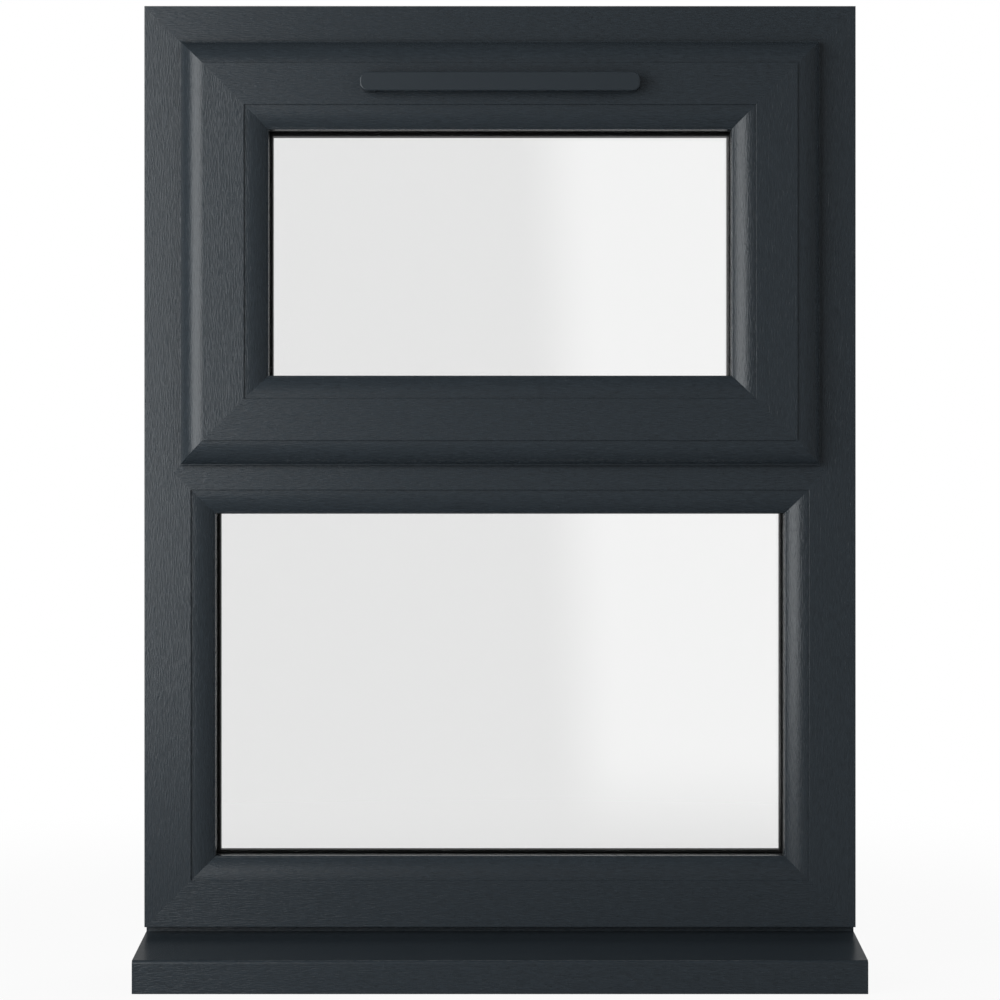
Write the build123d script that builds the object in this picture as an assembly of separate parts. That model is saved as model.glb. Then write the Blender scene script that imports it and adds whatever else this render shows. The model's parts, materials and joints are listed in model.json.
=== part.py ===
from build123d import *

import os
from math import radians, tan

# A top-hung casement window in foiled plastic profiles: a mitred outer frame with a transom,
# a fixed light below it, a top-hung sash above it and a projecting cill under the frame.
# Millimetres. +X is to the right seen from outside, +Y goes into the room, +Z is up.
# The origin lies on the cill's flat underside, at mid-width, below the frame's outside face.

# Outer frame
FRAME_WIDTH = 610.0
FRAME_HEIGHT = 790.0
PROFILE_DEPTH = 70.0
FRAME_FACE = 40.0
TRANSOM_FACE = 30.0
LOWER_OPENING = 335.0
UPSTAND_DEPTH = 16.0
UPSTAND_HEIGHT = 20.0
EDGE_ROUND = 0.8
UPSTAND_ROUND = 5.0
FIXING_GROOVE_WIDTH = 8.0
FIXING_GROOVE_DEPTH = 2.5
FIXING_GROOVE_OFFSETS = (26.0, 50.0)

# Sash
SASH_OVERLAP = 9.0
HINGE_GAP = 13.0
SASH_FLANGE = 19.0
SASH_MOULDING = 21.0
SASH_LIP = 2.5
SASH_LEDGE = 1.0
SASH_LEDGE_ROUND = 0.5
SASH_FLAT = 35.5
HARDWARE_GROOVE_WIDTH = 16.0
HARDWARE_GROOVE_DEPTH = 5.0
HARDWARE_GROOVE_OFFSET = 35.0

# Mouldings and beads
QUIRK = 1.5
QUIRK_ROUND = 0.4
BEAD_CURVE_WIDTH = 18.5
BEAD_CURVE_DEPTH = 7.4
BEAD_STEP = 0.6
CLIP_WIDTH = 3.0
CLIP_DEPTH = 2.5
CLIP_CLEARANCE = 0.2
CLIP_OFFSET = 5.0

# Glazing and seals
PANE = 4.0
PANE_GAP = 20.0
GLASS_EDGE_GAP = 5.0
SPACER_HEIGHT = 12.0
SEAL = 3.0
SEAL_NOSE = 0.5
GASKET_EDGE_GAP = 6.0
GASKET_ROUND = 1.3
SEAL_INSET = 2.0
SEAL_WIDTH = 5.0

# Cill
CILL_PROJECTION = 80.0
CILL_SEAT = 30.0
CILL_RISER = 5.5
CILL_RISER_SETBACK = 15.0
CILL_SLOPE = 5.9
CILL_NOSE_HEIGHT = 27.6
CILL_NOSE_THICKNESS = 18.0
CILL_NOSE_ROUND = 3.0
DRIP_GROOVE_WIDTH = 5.0
DRIP_GROOVE_DEPTH = 3.0
END_CAP = 2.0

# Trickle vent
VENT_LENGTH = 237.0
VENT_HEIGHT = 16.0
CANOPY_DEPTH = 14.0
CANOPY_WALL = 1.8
CANOPY_CORNER = 6.5
CANOPY_ROUND = 1.2
CONTROLLER_DEPTH = 11.0
CONTROLLER_CORNER = 4.0
CONTROLLER_CHAMFER = 2.0
SLIDER_LENGTH = 26.0
SLIDER_HEIGHT = 7.0
SLIDER_DEPTH = 4.0
SLIDER_CORNER = 2.3
SLIDER_CHAMFER = 0.8
SLIDER_OFFSET = 60.0

# Room-side handle
HANDLE_BACKSET = 22.0
HANDLE_BASE_LENGTH = 72.0
HANDLE_BASE_HEIGHT = 28.0
HANDLE_BASE_DEPTH = 11.0
HANDLE_BASE_CORNER = 12.5
HANDLE_BASE_CHAMFER = 2.5
NECK_DIAMETER = 17.0
NECK_LENGTH = 24.0
LEVER_LENGTH = 108.0
LEVER_ROOT_RADIUS = 11.5
LEVER_TIP_RADIUS = 8.0
LEVER_DEPTH = 11.0
LEVER_ROUND = 3.0

# Friction stays
STAY_LENGTH = 200.0
STAY_WIDTH = 18.0
STAY_TRACK = 3.5
STAY_BAR_LENGTH = 120.0
STAY_LINK_LENGTH = 150.0
STAY_LINK_WIDTH = 12.0
STAY_TOP_GAP = 14.0

# Derived levels and sizes
UNIT_DEPTH = 2 * PANE + PANE_GAP
BEAD_DEPTH = PROFILE_DEPTH - UPSTAND_DEPTH - 2 * SEAL - UNIT_DEPTH
BEAD_LIP = UPSTAND_HEIGHT - BEAD_CURVE_WIDTH
BEAD_CURVE_END = QUIRK + BEAD_CURVE_DEPTH
SASH_DEPTH = SASH_FLANGE + PROFILE_DEPTH - UPSTAND_DEPTH
SASH_FACE = -SASH_FLANGE - SEAL
SASH_BACK = SASH_FACE + SASH_DEPTH
SASH_BODY_EDGE = SASH_OVERLAP + HINGE_GAP
SASH_REBATE = SASH_MOULDING + SASH_FLAT

FRAME_BOTTOM = CILL_SEAT
FRAME_TOP = FRAME_BOTTOM + FRAME_HEIGHT
OPENING_WIDTH = FRAME_WIDTH - 2 * FRAME_FACE
LOWER_BOTTOM = FRAME_BOTTOM + FRAME_FACE
LOWER_TOP = LOWER_BOTTOM + LOWER_OPENING
TRANSOM_CENTRE = LOWER_TOP + TRANSOM_FACE / 2
UPPER_BOTTOM = LOWER_TOP + TRANSOM_FACE
UPPER_TOP = FRAME_TOP - FRAME_FACE

SASH_WIDTH = OPENING_WIDTH + 2 * SASH_OVERLAP
SASH_BOTTOM = UPPER_BOTTOM - SASH_OVERLAP
SASH_TOP = UPPER_TOP + SASH_OVERLAP
SASH_HEIGHT = SASH_TOP - SASH_BOTTOM
SASH_OPENING_WIDTH = SASH_WIDTH - 2 * SASH_REBATE
SASH_OPENING_BOTTOM = SASH_BOTTOM + SASH_REBATE
SASH_OPENING_HEIGHT = SASH_HEIGHT - 2 * SASH_REBATE

VENT_CENTRE = SASH_TOP - SASH_MOULDING - SASH_FLAT / 2
HANDLE_CENTRE = SASH_BOTTOM + SASH_BODY_EDGE + HANDLE_BACKSET

pieces = {}


# Profile sections: x runs inward from the outer edge, y runs from the outside face into the room

def clip_groove(floor):
    """Points of the bead's clip groove down a rebate floor, outside face first."""
    back = BEAD_DEPTH - CLIP_OFFSET + CLIP_CLEARANCE
    front = back - CLIP_WIDTH - 2 * CLIP_CLEARANCE
    bottom = floor - CLIP_DEPTH - CLIP_CLEARANCE
    return [(floor, front), (bottom, front), (bottom, back), (floor, back)]


def rounded(face, corners, radius):
    """The face with the named corner points rounded."""
    chosen = []
    for vertex in face.vertices():
        for x, y in corners:
            if abs(vertex.X - x) < 1e-6 and abs(vertex.Y - y) < 1e-6:
                chosen.append(vertex)
    return fillet(chosen, radius)


def frame_section():
    """Outer frame: flat outside face, open rebate, upstand at the room side."""
    upstand_face = PROFILE_DEPTH - UPSTAND_DEPTH
    tip = FRAME_FACE + UPSTAND_HEIGHT
    points = [(0, 0), (FRAME_FACE, 0)]
    points += clip_groove(FRAME_FACE)
    points += [(FRAME_FACE, upstand_face), (tip, upstand_face), (tip, PROFILE_DEPTH), (0, PROFILE_DEPTH)]
    face = make_face(Polyline(points, close=True))
    for offset in FIXING_GROOVE_OFFSETS:
        groove = Rectangle(FIXING_GROOVE_DEPTH, FIXING_GROOVE_WIDTH, align=(Align.MIN, Align.MIN))
        face -= Pos(0, offset) * groove
    face = rounded(face, [(0, 0), (0, PROFILE_DEPTH)], EDGE_ROUND)
    face = rounded(face, [(FRAME_FACE, 0)], QUIRK_ROUND)
    return rounded(face, [(tip, PROFILE_DEPTH)], UPSTAND_ROUND)


def transom_section():
    """Transom: x runs up from its centre line, with an upstand to each light."""
    upstand_face = PROFILE_DEPTH - UPSTAND_DEPTH
    half = TRANSOM_FACE / 2
    tip = half + UPSTAND_HEIGHT
    upper = [(half, 0)] + clip_groove(half) + [(half, upstand_face), (tip, upstand_face), (tip, PROFILE_DEPTH)]
    lower = [(-x, y) for x, y in reversed(upper)]
    face = make_face(Polyline(upper + lower, close=True))
    face = rounded(face, [(half, 0), (-half, 0)], QUIRK_ROUND)
    return rounded(face, [(tip, PROFILE_DEPTH), (-tip, PROFILE_DEPTH)], UPSTAND_ROUND)


def sash_section():
    """Sash: moulded flange over the frame, flat face, open rebate, upstand at the room side."""
    lip = SASH_FLANGE - SASH_LIP
    upstand_face = PROFILE_DEPTH - UPSTAND_DEPTH
    tip = SASH_REBATE + UPSTAND_HEIGHT
    groove_end = HARDWARE_GROOVE_OFFSET + HARDWARE_GROOVE_WIDTH
    groove_floor = SASH_BODY_EDGE + HARDWARE_GROOVE_DEPTH
    curve = TangentArc((SASH_MOULDING, QUIRK), (SASH_LEDGE, lip), tangent=(-1, 0))
    points = [(SASH_MOULDING, QUIRK), (SASH_MOULDING, 0), (SASH_REBATE, 0)]
    points += clip_groove(SASH_REBATE)
    points += [(SASH_REBATE, upstand_face), (tip, upstand_face), (tip, SASH_DEPTH)]
    points += [(SASH_BODY_EDGE, SASH_DEPTH), (SASH_BODY_EDGE, groove_end), (groove_floor, groove_end)]
    points += [(groove_floor, HARDWARE_GROOVE_OFFSET), (SASH_BODY_EDGE, HARDWARE_GROOVE_OFFSET)]
    points += [(SASH_BODY_EDGE, SASH_FLANGE), (0, SASH_FLANGE), (0, lip), (SASH_LEDGE, lip)]
    face = make_face([curve, Polyline(points)])
    face = rounded(face, [(0, SASH_FLANGE)], EDGE_ROUND)
    face = rounded(face, [(0, lip)], SASH_LEDGE_ROUND)
    face = rounded(face, [(SASH_MOULDING, 0), (SASH_REBATE, 0)], QUIRK_ROUND)
    return rounded(face, [(tip, SASH_DEPTH)], UPSTAND_ROUND)


def bead_section():
    """Glazing bead: x runs up from the rebate floor, with a quarter-round front and a clip foot."""
    lip_start = BEAD_CURVE_END + BEAD_STEP
    lip_end = lip_start + BEAD_LIP
    clip_back = BEAD_DEPTH - CLIP_OFFSET
    clip_front = clip_back - CLIP_WIDTH
    curve = TangentArc((0, QUIRK), (BEAD_CURVE_WIDTH, BEAD_CURVE_END), tangent=(1, 0))
    step = Line((BEAD_CURVE_WIDTH, BEAD_CURVE_END), (BEAD_CURVE_WIDTH, lip_start))
    nose = CenterArc((BEAD_CURVE_WIDTH, lip_end), BEAD_LIP, 270, 90)
    points = [(UPSTAND_HEIGHT, lip_end), (UPSTAND_HEIGHT, BEAD_DEPTH), (0, BEAD_DEPTH), (0, clip_back)]
    points += [(-CLIP_DEPTH, clip_back), (-CLIP_DEPTH, clip_front), (0, clip_front), (0, QUIRK)]
    return make_face([curve, step, nose, Polyline(points)])


def strip_section(inner, outer, front, back, nose=0.0):
    """A plain strip from one distance inward to another, with a rounded inner end if wanted."""
    strip = Pos((inner + outer) / 2, (front + back) / 2) * Rectangle(outer - inner, back - front)
    if nose:
        strip = rounded(strip, [(outer, front), (outer, back)], nose)
    return strip


# Lengths round a rectangle

def mitred(section, width, height, bottom, front):
    """Four lengths of one section round a rectangle, cut at 45 degrees where they meet."""
    box = section.bounding_box()
    out = max(-box.min.X, 0) + 1
    reach = box.max.X + 1
    middle = bottom + height / 2
    layout = {
        "bottom": (Plane((0, front, bottom), x_dir=(0, 0, 1), z_dir=(-1, 0, 0)), width),
        "top": (Plane((0, front, bottom + height), x_dir=(0, 0, -1), z_dir=(1, 0, 0)), width),
        "left": (Plane((-width / 2, front, middle), x_dir=(1, 0, 0), z_dir=(0, 0, 1)), height),
        "right": (Plane((width / 2, front, middle), x_dir=(-1, 0, 0), z_dir=(0, 0, -1)), height),
    }
    sides = {}
    for side, (plane, length) in layout.items():
        bar = extrude(plane * section, amount=length / 2 + out, both=True)
        outline = [(-out, length / 2 + out), (reach, length / 2 - reach), (reach, reach - length / 2),
                   (-out, -length / 2 - out)]
        flat = Plane(plane.origin, x_dir=plane.x_dir, z_dir=-plane.y_dir)
        wedge = extrude(flat * make_face(Polyline(outline, close=True)), amount=2 * PROFILE_DEPTH, both=True)
        sides[side] = bar & wedge
    return sides


def ring(section, width, height, bottom, front):
    """One closed ring of a section round a rectangle."""
    sides = mitred(section, width, height, bottom, front)
    return sides["bottom"] + sides["left"] + sides["top"] + sides["right"]


def plate(length, height, depth, corner):
    """A plate with rounded corners that stands on the XZ plane and rises along +Y."""
    return extrude(Plane.XZ * RectangleRounded(length, height, corner), amount=-depth)


def front_edges(solid):
    """The edges round the face that lies furthest along +Y."""
    return solid.faces().sort_by(Axis.Y)[-1].edges()


# Outer frame, transom and cill

def build_frame():
    """Mitred outer frame; the transom's pointed ends sit in V notches in the jambs."""
    sides = mitred(frame_section(), FRAME_WIDTH, FRAME_HEIGHT, FRAME_BOTTOM, 0)
    reach = (OPENING_WIDTH + TRANSOM_FACE) / 2
    outline = Polyline((-reach, 0), (0, reach), (reach, 0), (0, -reach), close=True)
    flat = Plane((0, 0, TRANSOM_CENTRE), x_dir=(1, 0, 0), z_dir=(0, 1, 0))
    diamond = extrude(flat * make_face(outline), amount=PROFILE_DEPTH)
    across = Plane((0, 0, TRANSOM_CENTRE), x_dir=(0, 0, 1), z_dir=(-1, 0, 0))
    bar = extrude(across * transom_section(), amount=reach, both=True)
    pieces["frame_head"] = sides["top"]
    pieces["frame_left_jamb"] = sides["left"] - diamond
    pieces["frame_right_jamb"] = sides["right"] - diamond
    pieces["frame_bottom_rail"] = sides["bottom"]
    pieces["transom"] = bar & diamond


def build_cill():
    slope_back = CILL_SEAT - CILL_RISER
    run = CILL_PROJECTION + CILL_RISER_SETBACK
    nose_top = slope_back - run * tan(radians(CILL_SLOPE))
    nose_bottom = nose_top - CILL_NOSE_HEIGHT
    front = -CILL_PROJECTION
    nose_back = front + CILL_NOSE_THICKNESS
    points = [(PROFILE_DEPTH, 0), (PROFILE_DEPTH, CILL_SEAT), (CILL_RISER_SETBACK, CILL_SEAT)]
    points += [(CILL_RISER_SETBACK, slope_back), (front, nose_top), (front, nose_bottom)]
    points += [(nose_back, nose_bottom), (nose_back, 0)]
    face = make_face(Polyline(points, close=True))
    face = rounded(face, [(front, nose_top)], CILL_NOSE_ROUND)
    face = rounded(face, [(front, nose_bottom)], EDGE_ROUND)
    drip = Rectangle(DRIP_GROOVE_WIDTH, DRIP_GROOVE_DEPTH, align=(Align.CENTER, Align.MIN))
    face -= Pos((front + nose_back) / 2, nose_bottom) * drip
    body = FRAME_WIDTH - 2 * END_CAP
    for name, start, length in (("cill", -body / 2, body), ("cill_end_cap_left", -FRAME_WIDTH / 2, END_CAP),
                                ("cill_end_cap_right", body / 2, END_CAP)):
        plane = Plane((start, 0, 0), x_dir=(0, 1, 0), z_dir=(1, 0, 0))
        pieces[name] = extrude(plane * face, amount=length)


# Glazed lights

def build_light(name, width, height, bottom, front):
    """Sealed unit, two gaskets and four mitred beads in a rebate opening."""
    bead_sides = mitred(bead_section(), width, height, bottom, front)
    for side, bead in bead_sides.items():
        pieces[f"{name}_bead_{side}"] = bead
    unit = front + BEAD_DEPTH + SEAL
    middle = bottom + height / 2
    pane_width = width - 2 * GLASS_EDGE_GAP
    pane_height = height - 2 * GLASS_EDGE_GAP
    for pane, offset in (("outer", 0.0), ("inner", PANE + PANE_GAP)):
        slab = Box(pane_width, PANE, pane_height, align=(Align.CENTER, Align.MIN, Align.CENTER))
        pieces[f"{name}_{pane}_pane"] = Pos(0, unit + offset, middle) * slab
    spacer = strip_section(GLASS_EDGE_GAP, GLASS_EDGE_GAP + SPACER_HEIGHT, PANE, PANE + PANE_GAP)
    pieces[f"{name}_spacer"] = ring(spacer, width, height, bottom, unit)
    gasket = strip_section(GASKET_EDGE_GAP, UPSTAND_HEIGHT + SEAL_NOSE, 0, SEAL, GASKET_ROUND)
    pieces[f"{name}_outer_gasket"] = ring(gasket, width, height, bottom, unit - SEAL)
    pieces[f"{name}_inner_gasket"] = ring(gasket, width, height, bottom, unit + UNIT_DEPTH)


def build_sash():
    sides = mitred(sash_section(), SASH_WIDTH, SASH_HEIGHT, SASH_BOTTOM, SASH_FACE)
    pieces["sash_head"] = sides["top"]
    pieces["sash_left_stile"] = sides["left"]
    pieces["sash_right_stile"] = sides["right"]
    pieces["sash_bottom_rail"] = sides["bottom"]
    outer = strip_section(SEAL_INSET, SEAL_INSET + SEAL_WIDTH, 0, SEAL)
    pieces["sash_outer_seal"] = ring(outer, SASH_WIDTH, SASH_HEIGHT, SASH_BOTTOM, -SEAL)
    start = SASH_BODY_EDGE + EDGE_ROUND
    inner = strip_section(start, start + SEAL_WIDTH, 0, SEAL)
    pieces["sash_inner_seal"] = ring(inner, SASH_WIDTH, SASH_HEIGHT, SASH_BOTTOM, SASH_BACK)


# Fittings on the sash

def build_vent():
    canopy = plate(VENT_LENGTH, VENT_HEIGHT, CANOPY_DEPTH, CANOPY_CORNER)
    canopy = fillet(front_edges(canopy), CANOPY_ROUND)
    inside_corner = CANOPY_CORNER - CANOPY_WALL
    inside = RectangleRounded(VENT_LENGTH - 2 * CANOPY_WALL, VENT_HEIGHT - 2 * CANOPY_WALL, inside_corner)
    canopy -= extrude(Plane.XZ * inside, amount=CANOPY_WALL - CANOPY_DEPTH)
    mouth = Box(VENT_LENGTH - 4 * CANOPY_CORNER, CANOPY_DEPTH - CANOPY_WALL, VENT_HEIGHT / 2,
                align=(Align.CENTER, Align.MIN, Align.MAX))
    canopy -= mouth
    pieces["vent_canopy"] = Pos(0, SASH_FACE, VENT_CENTRE) * Rot(0, 0, 180) * canopy
    controller = plate(VENT_LENGTH, VENT_HEIGHT, CONTROLLER_DEPTH, CONTROLLER_CORNER)
    controller = chamfer(front_edges(controller), CONTROLLER_CHAMFER)
    pieces["vent_controller"] = Pos(0, SASH_BACK, VENT_CENTRE) * controller
    slider = plate(SLIDER_LENGTH, SLIDER_HEIGHT, SLIDER_DEPTH, SLIDER_CORNER)
    slider = chamfer(front_edges(slider), SLIDER_CHAMFER)
    pieces["vent_slider"] = Pos(SLIDER_OFFSET, SASH_BACK + CONTROLLER_DEPTH, VENT_CENTRE) * slider


def build_handle():
    base = plate(HANDLE_BASE_LENGTH, HANDLE_BASE_HEIGHT, HANDLE_BASE_DEPTH, HANDLE_BASE_CORNER)
    base = chamfer(front_edges(base), HANDLE_BASE_CHAMFER)
    pieces["handle_base"] = Pos(0, SASH_BACK, HANDLE_CENTRE) * base
    reach = LEVER_LENGTH - LEVER_TIP_RADIUS
    ends = Sketch() + [Circle(LEVER_ROOT_RADIUS), Pos(reach, 0) * Circle(LEVER_TIP_RADIUS)]
    outline = make_hull(ends.edges())
    lever = extrude(Plane.XZ * outline, amount=-LEVER_DEPTH)
    lever = fillet(front_edges(lever), LEVER_ROUND)
    lever = Pos(0, NECK_LENGTH, 0) * lever
    lever += extrude(Plane.XZ * Circle(NECK_DIAMETER / 2), amount=-NECK_LENGTH)
    pieces["handle_lever"] = Pos(0, SASH_BACK + HANDLE_BASE_DEPTH, HANDLE_CENTRE) * lever


def build_stays():
    """Folded friction stays in the gap beside the sash: track on the jamb, links, bar on the stile."""
    depth = SASH_FACE + HARDWARE_GROOVE_OFFSET + HARDWARE_GROOVE_WIDTH / 2
    top = UPPER_TOP - STAY_TOP_GAP
    links = HINGE_GAP - 2 * STAY_TRACK
    for name, side in (("stay_left", -1), ("stay_right", 1)):
        stay = Part()
        layers = ((0.0, STAY_TRACK, STAY_LENGTH, STAY_WIDTH), (STAY_TRACK, links, STAY_LINK_LENGTH, STAY_LINK_WIDTH),
                  (STAY_TRACK + links, STAY_TRACK, STAY_BAR_LENGTH, STAY_WIDTH))
        for offset, thickness, length, width in layers:
            x = side * (OPENING_WIDTH / 2 - offset - thickness / 2)
            stay += Pos(x, depth, top - length / 2) * Box(thickness, width, length)
        pieces[name] = stay


build_frame()
build_cill()
build_light("fixed", OPENING_WIDTH, LOWER_OPENING, LOWER_BOTTOM, 0)
build_sash()
build_light("sash", SASH_OPENING_WIDTH, SASH_OPENING_HEIGHT, SASH_OPENING_BOTTOM, SASH_FACE)
build_vent()
build_handle()
build_stays()

os.makedirs("parts", exist_ok=True)
for name, piece in pieces.items():
    export_step(piece, os.path.join("parts", f"{name}.step"))
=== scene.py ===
import json
import math

import bpy
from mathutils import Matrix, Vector


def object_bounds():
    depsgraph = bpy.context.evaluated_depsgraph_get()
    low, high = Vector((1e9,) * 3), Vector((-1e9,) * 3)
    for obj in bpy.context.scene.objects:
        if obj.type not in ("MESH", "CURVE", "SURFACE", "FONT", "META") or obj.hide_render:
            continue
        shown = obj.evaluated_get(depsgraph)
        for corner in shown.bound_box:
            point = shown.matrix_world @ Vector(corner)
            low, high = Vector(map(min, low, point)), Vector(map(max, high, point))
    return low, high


# A top-hung window in anthracite foil, seen straight on from outside. A large softbox on the left lights
# its front and a second one lights its room side.

# Camera: the picture is 1000 pixels square
CAMERA_PLACE = (0.0, -2.343, 0.3964)
CAMERA_LENS = 98.38
SENSOR = 36.0

# Key softbox, by its two upright edges in plan and its lowest and highest level
KEY_NEAR_EDGE = (-0.55, -1.50)
KEY_FAR_EDGE = (-1.45, -0.62)
KEY_LEVELS = (0.05, 1.26)
KEY_RADIANCE = 3.38
KEY_COLOUR = (0.975, 1.0, 1.015)

# Room-side softbox, which lights the back and isn't mirrored by anything
ROOM_NEAR_EDGE = (0.40, 2.20)
ROOM_FAR_EDGE = (1.80, 1.30)
ROOM_LEVELS = (0.40, 1.90)
ROOM_RADIANCE = 2.2

# Light of the surroundings: what each kind of ray meets, and the directions between which it changes
FILL_LEVEL = 1.22
FILL_TOP_LEVEL = 0.02
FILL_EDGE = (0.25, 0.85)
FRONT_GLOSS_LEVEL = 0.05
BACK_GLOSS_LEVEL = 0.10
STRAIGHT_BACK_LEVEL = 0.36
BACK_EDGE = (0.0, 0.6)
STRAIGHT_BACK_EDGE = (0.78, 0.94)
BACKGROUND_LEVEL = 1.0
PANE_GLOSS_LEVEL = 0.55

# Panel that the panes mirror, by the directions in which it lies
PANEL_LEVEL = 0.86
PANEL_SLANT = 0.052
PANEL_LEFT = (0.0105, 0.0415)
PANEL_FOOT = (-0.132, -0.088)
PANEL_RIGHT = (0.1010, 0.1025)
PANEL_TOP = (0.1305, 0.1320)

# Floor
FLOOR_REACH = 12.0
FLOOR_FADE = (0.5, 1.4)
FLOOR_DROP = 0.0002
FLOOR_WHITE = 0.92

# Colours, linear
WHITE = (1.0, 1.0, 1.0)
ANTHRACITE = (0.0242, 0.0314, 0.0379)
BLACK_RUBBER = (0.0150, 0.0172, 0.0170)
BLACK_SPACER = (0.0120, 0.0135, 0.0135)
GLASS_TINT = (0.951, 0.952, 0.951)
STEEL = (0.52, 0.52, 0.51)
FLOOR_COLOUR = (0.70, 0.70, 0.70)

# Grain directions
ACROSS = 0
UPRIGHT = 2

# Foil grain, in metres, with the noise levels between which it changes
NOISE_SPREAD = (0.3, 0.7)
NOISE_MIDDLE = (0.5, 0.5, 0.5)
GRAIN_PITCH = 0.00088
GRAIN_LENGTH = 0.0075
GRAIN_HEIGHT = 0.000045
ACROSS_RELIEF = 1.3
UPRIGHT_RELIEF = 1.0
GRAIN_SWAY = 0.0006
SWAY_SCALE = 45.0
PORE_PITCH = 0.0010
PORE_LENGTH = 0.0045
PORE_DEPTH = 0.00003
PORE_EDGE = (0.56, 0.70)
LEVEL_GRAIN = 0.04
LEVEL_EDGE = (0.6, 0.98)
GRAIN_FLANK = (0.46, 0.64)
GRAIN_SHADE = 0.10
PORE_SHADE = 0.12
GRAIN_GLOSS = 0.03
FOIL_ROUGHNESS = 0.27

# Smooth plastics, rubber and paint
SATIN_SCALE = 900.0
SATIN_HEIGHT = 0.000005
CAP_ROUGHNESS = 0.27
RUBBER_ROUGHNESS = 0.55
SPACER_ROUGHNESS = 0.5
HANDLE_ROUGHNESS = 0.35

# Glass, with its wave in metres
GLASS_IOR = 1.5
WAVE_PITCH = 0.15
WAVE_HEIGHT = 0.00001

# Steel, with its brushing in metres
SCRATCH_PITCH = 0.0003
SCRATCH_LENGTH = 0.02
SCRATCH_DEPTH = 0.00001
STEEL_TONE = (0.92, 1.08)
STEEL_ROUGHNESS = (0.42, 0.28)


class Graph:
    """A small helper that adds shader nodes and joins them."""

    def __init__(self, tree):
        self.tree = tree
        tree.nodes.clear()

    def node(self, kind, inputs=None, **settings):
        made = self.tree.nodes.new(kind)
        for name, value in settings.items():
            setattr(made, name, value)
        for name, value in (inputs or {}).items():
            if isinstance(value, bpy.types.NodeSocket):
                self.tree.links.new(value, made.inputs[name])
            else:
                made.inputs[name].default_value = value
        return made

    def math(self, operation, first, second=0.0):
        return self.node("ShaderNodeMath", {0: first, 1: second}, operation=operation).outputs[0]

    def vector(self, operation, inputs):
        return self.node("ShaderNodeVectorMath", inputs, operation=operation).outputs[0]

    def noise(self, place, scale, detail, output="Fac"):
        made = self.node("ShaderNodeTexNoise", {"Vector": place, "Scale": scale, "Detail": detail})
        return made.outputs[output]

    def ramp(self, value, low, high, bottom=0.0, top=1.0):
        made = self.node("ShaderNodeMapRange", {"Value": value, "From Min": low, "From Max": high,
                                                "To Min": bottom, "To Max": top})
        made.interpolation_type = "SMOOTHSTEP"
        return made.outputs["Result"]


def new_material(name):
    material = bpy.data.materials.new(name)
    material.use_nodes = True
    return material, Graph(material.node_tree)


def shader(graph, inputs):
    surface = graph.node("ShaderNodeBsdfPrincipled", inputs)
    graph.node("ShaderNodeOutputMaterial", {"Surface": surface.outputs[0]})


def opaque(colour):
    return (*colour, 1.0)


def streaks(graph, place, along, pitch, length):
    """Noise drawn out along one axis."""
    scale = [1.0 / pitch] * 3
    scale[along] = 1.0 / length
    stretched = graph.node("ShaderNodeMapping", {"Vector": place, "Scale": scale}).outputs[0]
    return graph.noise(stretched, 1.0, 1.0)


def foil(name, along, strength):
    """Embossed woodgrain foil whose grain runs along one axis and is almost smooth on level faces."""
    material, graph = new_material(name)
    place = graph.node("ShaderNodeTexCoord").outputs["Object"]
    drift = graph.vector("SUBTRACT", {0: graph.noise(place, SWAY_SCALE, 1.0, "Color"), 1: NOISE_MIDDLE})
    drift = graph.vector("SCALE", {0: drift, "Scale": 2.0 * GRAIN_SWAY})
    swayed = graph.vector("ADD", {0: place, 1: drift})
    grain = streaks(graph, swayed, along, GRAIN_PITCH, GRAIN_LENGTH)
    pores = graph.ramp(streaks(graph, swayed, along, PORE_PITCH, PORE_LENGTH), *PORE_EDGE)
    ridges = graph.math("MULTIPLY", graph.ramp(grain, *GRAIN_FLANK), GRAIN_HEIGHT)
    height = graph.math("SUBTRACT", ridges, graph.math("MULTIPLY", pores, PORE_DEPTH))
    normal = graph.node("ShaderNodeTexCoord").outputs["Normal"]
    level = graph.math("ABSOLUTE", graph.node("ShaderNodeSeparateXYZ", {0: normal}).outputs[2])
    relief = graph.ramp(level, *LEVEL_EDGE, strength, LEVEL_GRAIN)
    height = graph.math("MULTIPLY", height, relief)
    bump = graph.node("ShaderNodeBump", {"Height": height, "Strength": 1.0, "Distance": 1.0})
    tone = graph.ramp(grain, *NOISE_SPREAD, -GRAIN_SHADE, GRAIN_SHADE)
    tone = graph.math("SUBTRACT", tone, graph.math("MULTIPLY", pores, PORE_SHADE))
    shade = graph.math("ADD", graph.math("MULTIPLY", tone, relief), 1.0)
    colour = graph.vector("SCALE", {0: ANTHRACITE, "Scale": shade})
    rough = graph.math("MULTIPLY", graph.ramp(grain, *NOISE_SPREAD, GRAIN_GLOSS, -GRAIN_GLOSS), relief)
    rough = graph.math("ADD", rough, FOIL_ROUGHNESS)
    shader(graph, {"Base Color": colour, "Roughness": rough, "Normal": bump.outputs[0]})
    return material


def satin_plastic(name, colour, roughness):
    material, graph = new_material(name)
    place = graph.node("ShaderNodeTexCoord").outputs["Object"]
    fine = graph.noise(place, SATIN_SCALE, 2.0)
    bump = graph.node("ShaderNodeBump", {"Height": fine, "Strength": 1.0, "Distance": SATIN_HEIGHT})
    shader(graph, {"Base Color": opaque(colour), "Roughness": roughness, "Normal": bump.outputs[0]})
    return material


def glass(name):
    """Clear float glass with the slight roller wave of a toughened pane."""
    material, graph = new_material(name)
    place = graph.node("ShaderNodeTexCoord").outputs["Object"]
    wave = graph.noise(place, 1.0 / WAVE_PITCH, 0.0)
    bump = graph.node("ShaderNodeBump", {"Height": wave, "Strength": 1.0, "Distance": WAVE_HEIGHT})
    shader(graph, {"Base Color": opaque(GLASS_TINT), "Roughness": 0.0, "IOR": GLASS_IOR,
                   "Transmission Weight": 1.0, "Normal": bump.outputs[0]})
    return material


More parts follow.
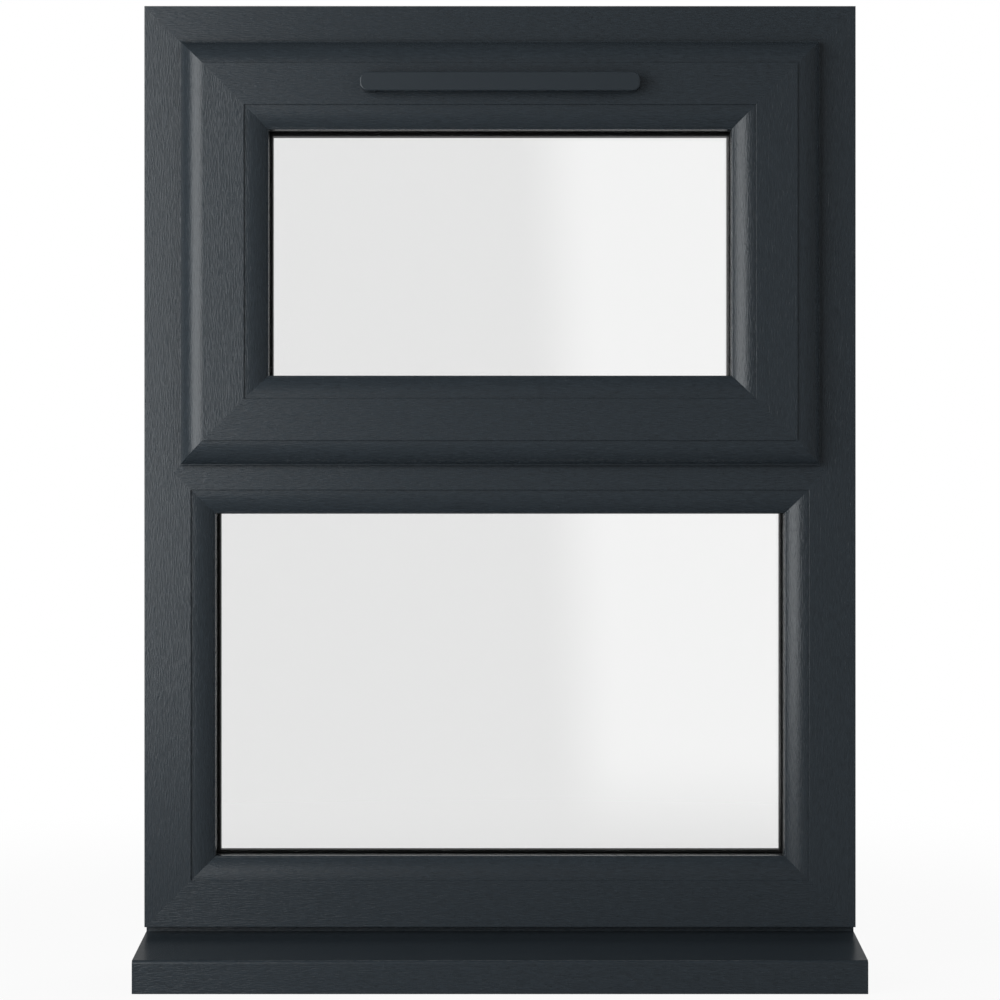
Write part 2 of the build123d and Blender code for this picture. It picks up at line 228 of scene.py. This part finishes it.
def steel(name):
    """Steel brushed along its length, which stands upright."""
    material, graph = new_material(name)
    place = graph.node("ShaderNodeTexCoord").outputs["Object"]
    scratches = streaks(graph, place, UPRIGHT, SCRATCH_PITCH, SCRATCH_LENGTH)
    bump = graph.node("ShaderNodeBump", {"Height": scratches, "Strength": 1.0, "Distance": SCRATCH_DEPTH})
    tone = graph.ramp(scratches, *NOISE_SPREAD, *STEEL_TONE)
    colour = graph.vector("SCALE", {0: STEEL, "Scale": tone})
    rough = graph.ramp(scratches, *NOISE_SPREAD, *STEEL_ROUGHNESS)
    shader(graph, {"Base Color": colour, "Metallic": 1.0, "Roughness": rough, "Normal": bump.outputs[0]})
    return material


def dress(frame):
    """One material for each of the record's slots, put on every node."""
    finishes = {
        "foil_across": foil("foil_across_look", ACROSS, ACROSS_RELIEF),
        "foil_upright": foil("foil_upright_look", UPRIGHT, UPRIGHT_RELIEF),
        "cap_plastic": satin_plastic("cap_plastic_look", ANTHRACITE, CAP_ROUGHNESS),
        "seal_rubber": satin_plastic("seal_rubber_look", BLACK_RUBBER, RUBBER_ROUGHNESS),
        "pane_glass": glass("pane_glass_look"),
        "spacer_plastic": satin_plastic("spacer_plastic_look", BLACK_SPACER, SPACER_ROUGHNESS),
        "handle_paint": satin_plastic("handle_paint_look", ANTHRACITE, HANDLE_ROUGHNESS),
        "stay_steel": steel("stay_steel_look"),
    }
    for subpart in frame["record"]["subparts"]:
        node = frame["nodes"][subpart["node"]]
        node.data.materials.clear()
        node.data.materials.append(finishes[subpart["material_slot"]])


def path_masks(graph):
    """Rays that see the background itself, reflected rays, sharp ones of those, and rays that left a pane."""
    path = graph.node("ShaderNodeLightPath").outputs
    reflected = graph.math("GREATER_THAN", path["Glossy Depth"], 0.5)
    shiny = graph.math("MULTIPLY", path["Is Glossy Ray"], reflected)
    passed = graph.math("MULTIPLY", path["Is Transmission Ray"], graph.math("SUBTRACT", 1.0, shiny))
    direct = graph.math("MAXIMUM", path["Is Camera Ray"], passed)
    mirror = graph.math("MULTIPLY", shiny, path["Is Singular Ray"])
    return direct, shiny, mirror, path["Is Transmission Ray"]


def gloss_towards(graph, y, through):
    """Level that reflected rays meet: dim in front, brighter behind, and brighter still through a pane."""
    back = graph.ramp(through, 0.0, 1.0, BACK_GLOSS_LEVEL, PANE_GLOSS_LEVEL)
    level = graph.ramp(y, *BACK_EDGE, FRONT_GLOSS_LEVEL, back)
    return graph.math("MAXIMUM", level, graph.ramp(y, *STRAIGHT_BACK_EDGE, 0.0, STRAIGHT_BACK_LEVEL))


def light_world():
    world = bpy.data.worlds.new("studio")
    bpy.context.scene.world = world
    world.use_nodes = True
    graph = Graph(world.node_tree)
    direct, glossy, mirror, through = path_masks(graph)
    direction = graph.node("ShaderNodeTexCoord").outputs["Generated"]
    x, y, z = graph.node("ShaderNodeSeparateXYZ", {0: direction}).outputs
    gloss_level = gloss_towards(graph, y, through)
    slant = graph.math("ADD", x, graph.math("MULTIPLY", z, PANEL_SLANT))
    panel = graph.math("MULTIPLY", graph.ramp(slant, *PANEL_LEFT), graph.ramp(z, *PANEL_FOOT))
    panel = graph.math("MULTIPLY", panel, graph.ramp(x, *PANEL_RIGHT, 1.0, 0.0))
    panel = graph.math("MULTIPLY", panel, graph.ramp(z, *PANEL_TOP, 1.0, 0.0))
    panel = graph.math("MULTIPLY", panel, graph.math("LESS_THAN", y, 0.0))
    panel = graph.math("MULTIPLY", graph.math("MULTIPLY", panel, mirror), PANEL_LEVEL)
    fill = graph.ramp(z, *FILL_EDGE, FILL_LEVEL, FILL_TOP_LEVEL)
    plain = graph.math("MULTIPLY", fill, graph.math("SUBTRACT", 1.0, graph.math("MAXIMUM", direct, glossy)))
    seen = graph.math("MULTIPLY", direct, BACKGROUND_LEVEL)
    shine = graph.math("MULTIPLY", glossy, gloss_level)
    total = graph.math("ADD", graph.math("ADD", plain, seen), graph.math("ADD", shine, panel))
    background = graph.node("ShaderNodeBackground", {"Color": opaque(WHITE), "Strength": total})
    graph.node("ShaderNodeOutputWorld", {"Surface": background.outputs[0]})


def softbox(name, near_edge, far_edge, levels, radiance, colour):
    """An upright area lamp between two edges in plan, facing right of the way from near to far."""
    near = Vector(near_edge)
    far = Vector(far_edge)
    width = (far - near).length
    height = levels[1] - levels[0]
    middle = (near + far) / 2
    data = bpy.data.lights.new(name, "AREA")
    data.shape = "RECTANGLE"
    data.size = width
    data.size_y = height
    data.energy = radiance * math.pi * width * height
    data.color = colour
    lamp = bpy.data.objects.new(name, data)
    lamp.location = (middle.x, middle.y, sum(levels) / 2)
    across = (far - near).normalized()
    facing = Vector((across.y, -across.x, 0.0))
    lamp.rotation_euler = facing.to_track_quat("-Z", "Y").to_euler()
    bpy.context.scene.collection.objects.link(lamp)
    return lamp


def light_studio():
    softbox("key_softbox", KEY_NEAR_EDGE, KEY_FAR_EDGE, KEY_LEVELS, KEY_RADIANCE, KEY_COLOUR)
    room = softbox("room_softbox", ROOM_NEAR_EDGE, ROOM_FAR_EDGE, ROOM_LEVELS, ROOM_RADIANCE, WHITE)
    room.visible_camera = False
    room.visible_glossy = False
    room.visible_transmission = False


def lay_floor(height):
    corners = [(-1, -1), (1, -1), (1, 1), (-1, 1)]
    mesh = bpy.data.meshes.new("floor")
    mesh.from_pydata([(x * FLOOR_REACH, y * FLOOR_REACH, height) for x, y in corners], [], [(0, 1, 2, 3)])
    floor = bpy.data.objects.new("floor", mesh)
    bpy.context.scene.collection.objects.link(floor)
    material, graph = new_material("floor_look")
    direct, glossy, mirror, through = path_masks(graph)
    place = graph.node("ShaderNodeTexCoord").outputs["Object"]
    away = graph.node("ShaderNodeVectorMath", {0: place}, operation="LENGTH").outputs["Value"]
    white_share = graph.ramp(away, *FLOOR_FADE, FLOOR_WHITE, 1.0)
    gloss = gloss_towards(graph, graph.node("ShaderNodeSeparateXYZ", {0: place}).outputs[1], through)
    shown = graph.math("MAXIMUM", graph.math("MULTIPLY", direct, white_share), glossy)
    seen = graph.math("MULTIPLY", direct, BACKGROUND_LEVEL)
    level = graph.math("ADD", seen, graph.math("MULTIPLY", glossy, gloss))
    paint = graph.node("ShaderNodeBsdfDiffuse", {"Color": opaque(FLOOR_COLOUR)})
    white = graph.node("ShaderNodeEmission", {"Color": opaque(WHITE), "Strength": level})
    mixed = graph.node("ShaderNodeMixShader", {0: shown, 1: paint.outputs[0], 2: white.outputs[0]})
    clear = graph.node("ShaderNodeBsdfTransparent")
    final = graph.node("ShaderNodeMixShader", {0: mirror, 1: mixed.outputs[0], 2: clear.outputs[0]})
    graph.node("ShaderNodeOutputMaterial", {"Surface": final.outputs[0]})
    mesh.materials.append(material)


def set_camera():
    data = bpy.data.cameras.new("camera")
    data.lens = CAMERA_LENS
    data.sensor_width = SENSOR
    camera = bpy.data.objects.new("camera", data)
    camera.location = CAMERA_PLACE
    camera.rotation_euler = (math.radians(90), 0, 0)
    bpy.context.scene.collection.objects.link(camera)
    bpy.context.scene.camera = camera


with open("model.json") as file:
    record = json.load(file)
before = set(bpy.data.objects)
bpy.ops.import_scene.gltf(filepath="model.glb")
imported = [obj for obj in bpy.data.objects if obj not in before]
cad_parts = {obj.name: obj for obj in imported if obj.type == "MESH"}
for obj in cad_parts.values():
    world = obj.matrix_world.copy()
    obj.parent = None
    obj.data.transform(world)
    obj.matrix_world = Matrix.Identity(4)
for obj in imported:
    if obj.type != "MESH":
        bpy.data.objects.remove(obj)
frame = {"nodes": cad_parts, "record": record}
cad_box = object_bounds()
bpy.context.scene.view_settings.view_transform = "Standard"
dress(frame)
light_world()
light_studio()
lay_floor(cad_box[0].z - FLOOR_DROP)
set_camera()
